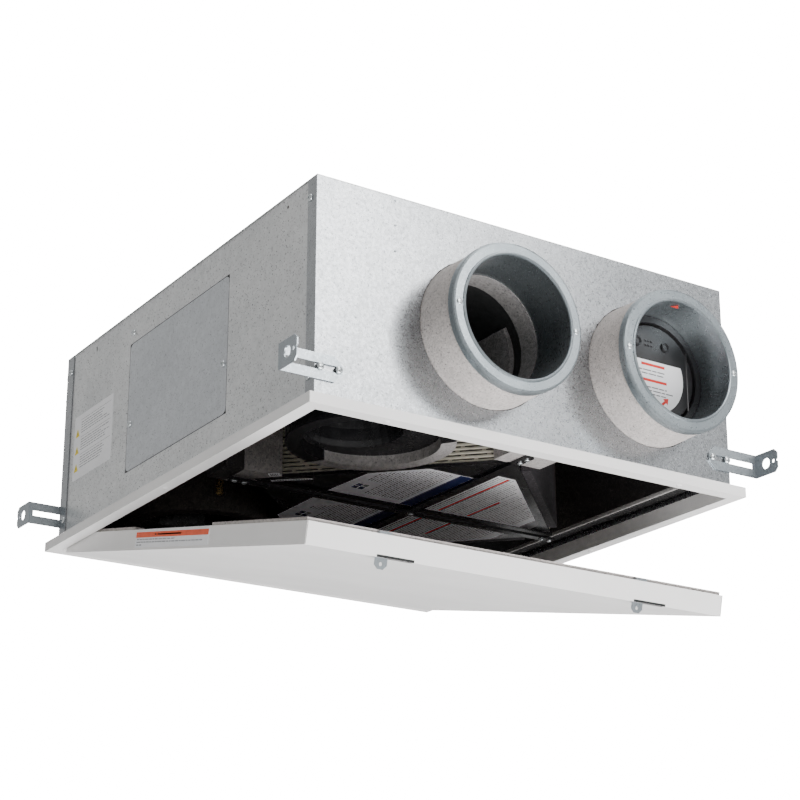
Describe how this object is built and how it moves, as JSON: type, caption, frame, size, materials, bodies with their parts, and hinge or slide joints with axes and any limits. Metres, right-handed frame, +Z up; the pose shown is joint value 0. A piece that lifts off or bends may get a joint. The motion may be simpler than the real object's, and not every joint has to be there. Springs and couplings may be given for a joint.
{
  "type": "heat recovery unit",
  "caption": "Ceiling-mounted heat recovery unit: galvanised casing with round duct ports, white flange, hinged service door, exchanger core, fans and slotted hanging brackets.",
  "frame": {"origin": "middle of the ceiling cut-out on the ceiling plane, which is the top face of the flange", "axes": "+Z up, -Y towards the pair of ports with the damper, +X to the right of somebody facing them"},
  "size_m": [0.595, 0.702, 0.3763],
  "materials": {
    "galvanised": "satin",
    "zinc_plate": "satin",
    "white_paint": "satin",
    "speckled_foam": "matte",
    "black_foam": "matte",
    "black_gloss": "gloss",
    "black_plastic": "satin",
    "cream_plastic": "matte",
    "filter_media": "matte",
    "board_green": "satin",
    "brass": "polished"
  },
  "bodies": {
    "casing": {"access_cover": "galvanised", "air_sensor": "brass", "back_panel": "galvanised", "cable_bushing_lower": "black_plastic", "cable_bushing_upper": "black_plastic", "collar_back_left": "speckled_foam", "collar_back_right": "speckled_foam", "collar_front_left": "speckled_foam", "collar_front_right": "speckled_foam", "control_board": "board_green", "control_box": "galvanised", "core_bottom_plate": "black_gloss", "core_plates": "cream_plastic", "core_top_plate": "black_gloss", "corner_holder_back": "speckled_foam", "corner_holder_front": "speckled_foam", "corner_holder_left": "speckled_foam", "damper_ring": "black_plastic", "fan_scroll_back": "speckled_foam", "fan_scroll_front": "speckled_foam", "filter_back": "filter_media", "filter_front": "filter_media", "flange_back": "white_paint", "flange_front": "white_paint", "flange_left": "white_paint", "flange_right": "white_paint", "front_panel": "galvanised", "hinge_casing_left": "zinc_plate", "hinge_casing_right": "zinc_plate", "inlet_ring_back": "black_gloss", "inlet_ring_front": "black_gloss", "left_panel": "galvanised", "liner_back": "black_foam", "liner_front": "black_foam", "liner_left": "black_foam", "liner_right": "black_foam", "liner_top": "black_foam", "motor_back": "zinc_plate", "motor_front": "zinc_plate", "retaining_bar_deep": "black_gloss", "retaining_bar_wide": "black_gloss", "right_panel": "galvanised", "ring_back_left": "zinc_plate", "ring_back_right": "zinc_plate", "ring_front_left": "zinc_plate", "ring_front_right": "zinc_plate", "top_panel": "galvanised"},
    "door": {"door_pan": "white_paint", "door_foam": "speckled_foam", "hinge_door_left": "zinc_plate", "hinge_door_right": "zinc_plate"},
    "latch_left": {"latch_left": "zinc_plate"},
    "latch_right": {"latch_right": "zinc_plate"},
    "damper": {"damper_flap": "black_plastic"},
    "fan_front": {"impeller_front": "black_plastic"},
    "fan_back": {"impeller_back": "black_plastic"},
    "hanger_front_left": {"hanger_front_left": "zinc_plate"},
    "hanger_front_right": {"hanger_front_right": "zinc_plate"},
    "hanger_back_left": {"hanger_back_left": "zinc_plate"},
    "hanger_back_right": {"hanger_back_right": "zinc_plate"}
  },
  "joints": [
    {"name": "door_hinge", "type": "hinge", "parent": "casing", "child": "door", "pos_m": [0, 0.2825, -0.009], "axis": [1, 0, 0], "range_deg": [-12.43, 75]},
    {"name": "latch_left_slide", "type": "slide", "parent": "door", "child": "latch_left", "axis": [1, 0, 0], "range_m": [0, 0.0284]},
    {"name": "latch_right_slide", "type": "slide", "parent": "door", "child": "latch_right", "axis": [1, 0, 0], "range_m": [0, 0.0284]},
    {"name": "damper_hinge", "type": "hinge", "parent": "casing", "child": "damper", "pos_m": [0.194, -0.303, 0.105], "axis": [0, 0, -1], "range_deg": [0, 70]},
    {"name": "fan_front_spin", "type": "hinge", "parent": "casing", "child": "fan_front", "pos_m": [-0.1436, -0.1774, 0.094], "axis": [0, 0, 1], "continuous": true},
    {"name": "fan_back_spin", "type": "hinge", "parent": "casing", "child": "fan_back", "pos_m": [-0.1436, 0.1774, 0.094], "axis": [0, 0, 1], "continuous": true},
    {"name": "hanger_front_left_slide", "type": "slide", "parent": "casing", "child": "hanger_front_left", "axis": [1, 0, 0], "range_m": [0, 0.034]},
    {"name": "hanger_front_right_slide", "type": "slide", "parent": "casing", "child": "hanger_front_right", "axis": [-1, 0, 0], "range_m": [0, 0.034]},
    {"name": "hanger_back_left_slide", "type": "slide", "parent": "casing", "child": "hanger_back_left", "axis": [1, 0, 0], "range_m": [0, 0.034]},
    {"name": "hanger_back_right_slide", "type": "slide", "parent": "casing", "child": "hanger_back_right", "axis": [-1, 0, 0], "range_m": [0, 0.034]}
  ]
}
